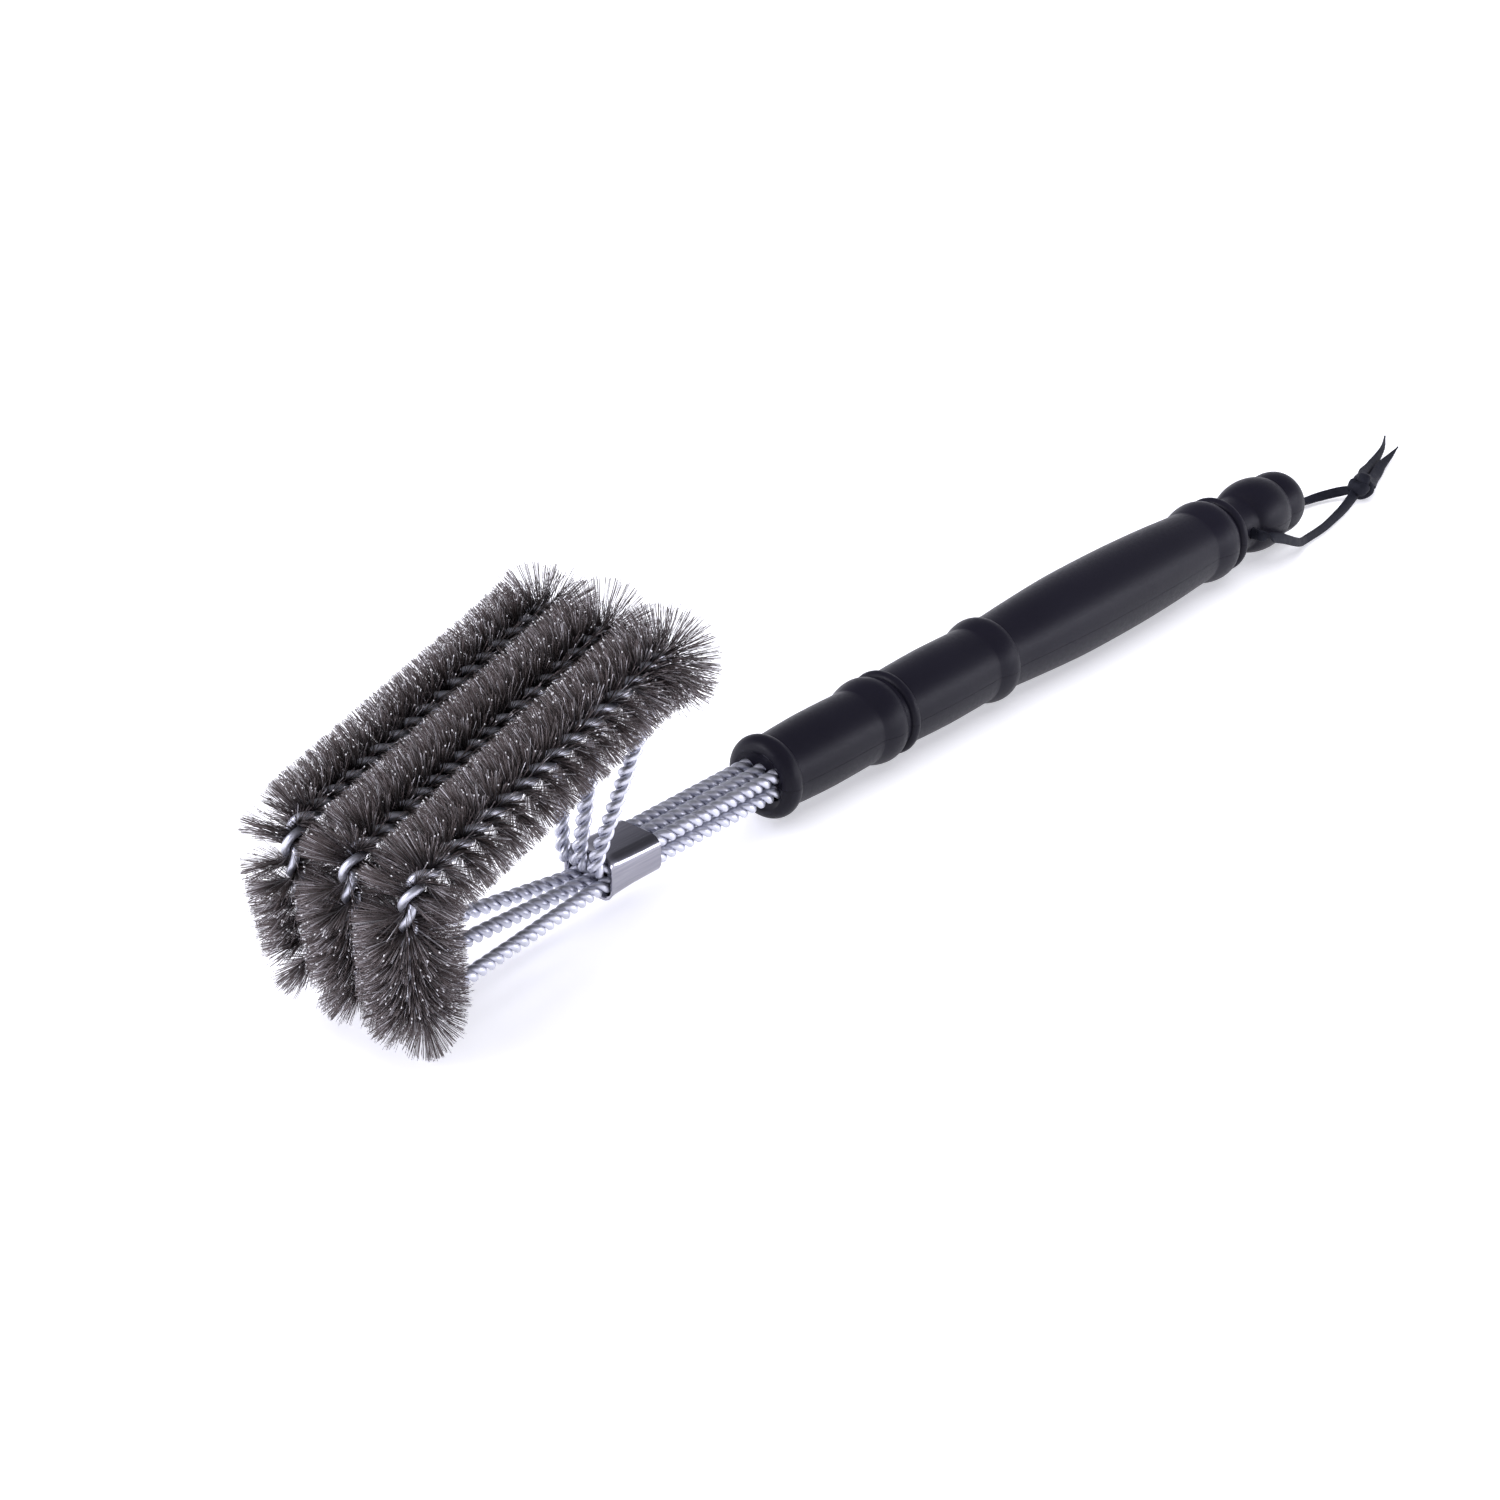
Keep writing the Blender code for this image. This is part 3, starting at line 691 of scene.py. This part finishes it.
def handle_outline():
    """(x, radius) points along the handle, from the dished front to the end disc."""
    dish = fair([(1.2, 0.0), (1.15, 4.0), (0.9, 7.0), (0.35, 9.2)])[:-1]
    flare = bead(3.7, 13.2, 3.7, 9.6, 11.6, 24)
    barrel_one = fair([(9.5, 11.65), (16.0, 12.0), (25.6, 12.3), (36.0, 12.25), (44.6, 12.1)])
    rings_one = swell(44.8, 12.15, 51.6, 13.75, 55.6, 11.9) + bead(59.3, 13.6, 1.9, 12.0, 12.1, 14)
    barrel_two = fair([(62.5, 12.15), (70.0, 12.5), (82.0, 12.8), (93.0, 12.7), (102.0, 12.5)])
    ring_two = swell(102.2, 12.55, 108.2, 14.05, 111.6, 12.4)
    grip = fair([(112.4, 12.35), (118.0, 12.55), (128.0, 13.2), (143.5, 14.05), (155.0, 14.45),
                 (166.0, 14.53), (178.0, 14.5), (190.0, 14.3), (205.0, 13.8), (217.0, 13.15), (225.0, 12.7)])
    rings_three = swell(225.3, 12.75, 233.0, 14.25, 237.8, 12.0) + bead(241.3, 13.4, 2.0, 11.9, 11.4, 14)
    neck = fair([(244.2, 10.4), (245.6, 9.6), (249.0, 9.3), (253.0, 9.4), (254.8, 9.75)])
    turns = np.radians(np.linspace(20, 152, 34))
    ball = [(264.7 - 10.0 * math.cos(a), 8.8 + 4.15 * math.sin(a)) for a in turns]
    disc = swell(273.9, 10.75, 278.3, 11.3, 284.7, 8.2)
    face = [(HANDLE_LENGTH, 7.6), (HANDLE_LENGTH, 0.0)]
    front = dish + flare + barrel_one + rings_one + barrel_two + ring_two
    return front + grip + rings_three + neck + ball + disc + face


def turned_solid(outline):
    """A closed solid turned about the handle's axis, in brush millimetres."""
    inner = np.array(outline[1:-1])
    angle = np.arange(HANDLE_TURN_STEPS) * 2 * math.pi / HANDLE_TURN_STEPS
    rings = np.stack([np.broadcast_to(inner[:, :1], (len(inner), len(angle))),
                      inner[:, 1:] * np.cos(angle), inner[:, 1:] * np.sin(angle)], -1)
    count, sides = rings.shape[:2]
    index = np.arange(count * sides).reshape(count, sides)
    quads = np.stack([index[:-1], index[1:], np.roll(index[1:], -1, 1), np.roll(index[:-1], -1, 1)], -1)
    vertices = np.vstack([rings.reshape(-1, 3), [[outline[0][0], 0, 0], [outline[-1][0], 0, 0]]])
    front, rear = count * sides, count * sides + 1
    fans = [[front, index[0][k], index[0][(k + 1) % sides]] for k in range(sides)]
    fans += [[rear, index[-1][(k + 1) % sides], index[-1][k]] for k in range(sides)]
    return vertices, quads.reshape(-1, 4).tolist() + fans


def cut(obj, cutter):
    """Takes the cutter out of the object, once applied."""
    modifier = obj.modifiers.new("cut", "BOOLEAN")
    modifier.solver = "EXACT"
    modifier.operation = "DIFFERENCE"
    modifier.object = cutter


def applied(obj):
    """Turns the object's modifiers into its mesh."""
    evaluated = obj.evaluated_get(bpy.context.evaluated_depsgraph_get())
    mesh = bpy.data.meshes.new_from_object(evaluated)
    old = obj.data
    obj.modifiers.clear()
    obj.data = mesh
    mesh.name = obj.name
    bpy.data.meshes.remove(old)


def prism(points_yz, x0, x1):
    """A block along x with the given section."""
    line = np.array([(x0, 0.0, 0.0), (x1, 0.0, 0.0)])
    outline = np.array([(z, -y) for y, z in points_yz])
    return sweep(line, outline)


def rod_solid(a, b, radius, sides=32):
    """A straight round rod."""
    return sweep(np.array([a, b], float), circle(radius, sides))


def rectangle(half_y, low, high):
    """A section for prism."""
    return [(-half_y, low), (half_y, low), (half_y, high), (-half_y, high)]


def handle_cutters():
    """The mouth that the six strands run into, and the lace's cross hole."""
    tools = [("mouth_core", prism(rectangle(ROW_PITCH, -ROW_HEIGHT, ROW_HEIGHT), -5.0, BORE_DEPTH))]
    for row in (-1, 1):
        for side in SIDES.values():
            y, z = ROW_PITCH * side, ROW_HEIGHT * row
            bore = rod_solid((-5.3, y, z), (BORE_DEPTH + 1.0, y, z), STRAND_RADIUS + BORE_CLEARANCE)
            tools.append((f"mouth_{row}_{side}", bore))
    tools.append(("lace_hole", rod_solid((HOLE_X, -20.0, 0.0), (HOLE_X, 20.0, 0.0), LACE_HOLE_RADIUS)))
    return [mesh_object(name, [solid], PLASTIC) for name, solid in tools]


def make_handle():
    """The two shells: the turned solid with the other half, the mouth and the cross hole cut away."""
    solid = turned_solid(handle_outline())
    tools = handle_cutters()
    for name, low, high in (("upper", -BEYOND, SEAM / 2), ("lower", -SEAM / 2, BEYOND)):
        shell = mesh_object(f"handle_{name}_half", [solid], PLASTIC)
        block = prism(rectangle(BEYOND, low, high), -10.0, HANDLE_LENGTH + 10.0)
        away = mesh_object(f"{name}_away", [block], PLASTIC)
        for tool in [away] + tools:
            cut(shell, tool)
        applied(shell)
        shell.data.shade_smooth()
        shell.data.set_sharp_from_angle(angle=math.radians(32))
        bpy.data.objects.remove(away)
        stand_for(shell, "handle_plastic", f"handle_{name}_shell")
    for tool in tools:
        bpy.data.objects.remove(tool)


make_handle()

# ---------------------------------------------------------------------------------------------------------
# Clamp sleeve
# ---------------------------------------------------------------------------------------------------------
CLAMP_WALL = 1.0
CLAMP_CLEARANCE = 0.25         # round the six strands
CLAMP_CORNER = 2.6             # inner corner radius
CLAMP_BULGE = 0.4
CLAMP_EDGE = 0.25              # rounding of the wall at both ends
CLAMP_TAPER = (0.7, 0.5)       # how much lower the outside and the inside are at the rear


def rounded_section(half_y, half_z, radius, bulge, steps=10):
    """A rounded rectangle whose long sides bulge a little, as (y, z) points."""
    points = []
    for cy, cz, begin in ((1, 1, 0), (-1, 1, 90), (-1, -1, 180), (1, -1, 270)):
        y, z = cy * (half_y - radius), cz * (half_z - radius)
        for a in np.radians(np.linspace(begin, begin + 90, steps + 1)):
            points.append((y + radius * math.cos(a), z + radius * math.sin(a)))
    points = np.array(points)
    points[:, 1] += np.sign(points[:, 1]) * bulge * (1 - (points[:, 0] / half_y) ** 2)
    return points


def make_clamp():
    """A bright folded band, its front edge opened slightly and both edges rounded."""
    front, rear = CLAMP_X
    half_y = ROW_PITCH + STRAND_RADIUS + CLAMP_CLEARANCE
    half_z = ROW_HEIGHT + STRAND_RADIUS + CLAMP_CLEARANCE
    stations = [(front, 0.55), (front + 0.3, 0.35), (front + 1.2, 0.12), (front + 4, 0.0),
                (0.5 * (front + rear), -0.1),
                (rear - 4, 0.0), (rear - 1.0, 0.05), (rear - 0.2, 0.08), (rear, 0.0)]
    rings = []
    for run, wall, inset, taper in ((stations, CLAMP_WALL, -CLAMP_EDGE, CLAMP_TAPER[0]),
                                    (stations[::-1], 0.0, CLAMP_EDGE, CLAMP_TAPER[1])):
        for x, grow in run:
            out = wall + grow + (inset if x in (front, rear) else 0.0)
            drop = taper * (x - front) / (rear - front)
            section = rounded_section(half_y + out, half_z + out - drop, CLAMP_CORNER + wall, CLAMP_BULGE)
            rings.append(np.column_stack([np.full(len(section), x), section]))
    rings = np.array(rings)
    count, sides = rings.shape[:2]
    index = np.arange(count * sides).reshape(count, sides)
    below = np.roll(index, -1, 0)
    quads = np.stack([index, np.roll(index, -1, 1), np.roll(below, -1, 1), below], -1)
    band = mesh_object("clamp_band", [(rings.reshape(-1, 3), quads.reshape(-1, 4).tolist())], CHROME, 50.0)
    stand_for(band, "clamp_chrome", "clamp_sleeve")


def make_hidden_steel():
    """The ferrule and the pin inside the handle stay as the CAD has them, in the wires' steel."""
    for node in ("wire_end_ferrule", "retaining_pin"):
        for material_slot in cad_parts[node].material_slots:
            material_slot.material = STEEL


make_clamp()
make_hidden_steel()


# ---------------------------------------------------------------------------------------------------------
# Floor, lights and world
# ---------------------------------------------------------------------------------------------------------
SKY = [(0.0, 1.0), (0.20, 0.85), (0.42, 0.36), (0.62, 0.16), (1.0, 0.08)]    # rise, level
SKY_TINT = (0.90, 0.90, 1.0)
FLOOR_DROP = 0.0004            # metres below the brush, so that no face coincides


def make_stage():
    """A pale floor, a little lit from within so that it stays white round the brush."""
    bpy.ops.mesh.primitive_plane_add(size=14.0, location=(0.0, 0.0, -FLOOR_DROP))
    floor = bpy.context.object
    floor.name = "floor"
    material = bpy.data.materials.new("pale_floor")
    material.use_nodes = True
    shader = material.node_tree.nodes["Principled BSDF"]
    shader.inputs["Base Color"].default_value = (0.82, 0.82, 0.87, 1.0)
    shader.inputs["Emission Color"].default_value = (0.97, 0.97, 1.0, 1.0)
    shader.inputs["Emission Strength"].default_value = 0.45
    shader.inputs["Roughness"].default_value = 0.9
    shader.inputs["Specular IOR Level"].default_value = 0.1
    floor.data.materials.append(material)


def area_light(name, place, target, size, power, colour=(1.0, 1.0, 1.0)):
    """A rectangular light at a place in metres, turned towards a target."""
    data = bpy.data.lights.new(name, "AREA")
    data.shape = "RECTANGLE"
    data.size, data.size_y = size
    data.energy = power
    data.color = colour
    light = bpy.data.objects.new(name, data)
    bpy.context.scene.collection.objects.link(light)
    light.location = place
    light.rotation_euler = (Vector(target) - Vector(place)).to_track_quat("-Z", "Y").to_euler()
    return light


def make_sky():
    """A studio sky that is bright at the horizon and dark overhead."""
    world = bpy.data.worlds.new("studio")
    bpy.context.scene.world = world
    world.use_nodes = True
    tree = world.node_tree
    place = tree.nodes.new("ShaderNodeTexCoord")
    height = tree.nodes.new("ShaderNodeSeparateXYZ")
    ramp = tree.nodes.new("ShaderNodeValToRGB")
    tree.links.new(place.outputs["Generated"], height.inputs["Vector"])
    tree.links.new(height.outputs["Z"], ramp.inputs["Fac"])
    tree.links.new(ramp.outputs["Color"], tree.nodes["Background"].inputs["Color"])
    while len(ramp.color_ramp.elements) < len(SKY):
        ramp.color_ramp.elements.new(0.5)
    for element, (rise, level) in zip(ramp.color_ramp.elements, SKY):
        element.position = rise
        element.color = (*(tint * level for tint in SKY_TINT), 1.0)
    tree.nodes["Background"].inputs["Strength"].default_value = 1.0


def make_lights():
    """A large soft light overhead, and a softbox on each side that shows in the bright steel."""
    fill = area_light("top_fill", (0.0, 0.2, 2.2), (0.0, 0.0, 0.0), (4.0, 4.0), 95.0)
    fill.visible_glossy = False
    area_light("left_box", (-2.0, 0.9, 1.0), (-0.05, 0.0, 0.03), (1.4, 1.0), 40.0, (0.9, 0.9, 1.0))
    area_light("right_box", (1.2, -1.9, 0.45), (0.0, 0.0, 0.03), (2.2, 0.6), 22.0, (0.9, 0.9, 1.0))


make_stage()
make_sky()
make_lights()
scene = bpy.context.scene
scene.view_settings.view_transform = "Standard"
scene.view_settings.look = "None"
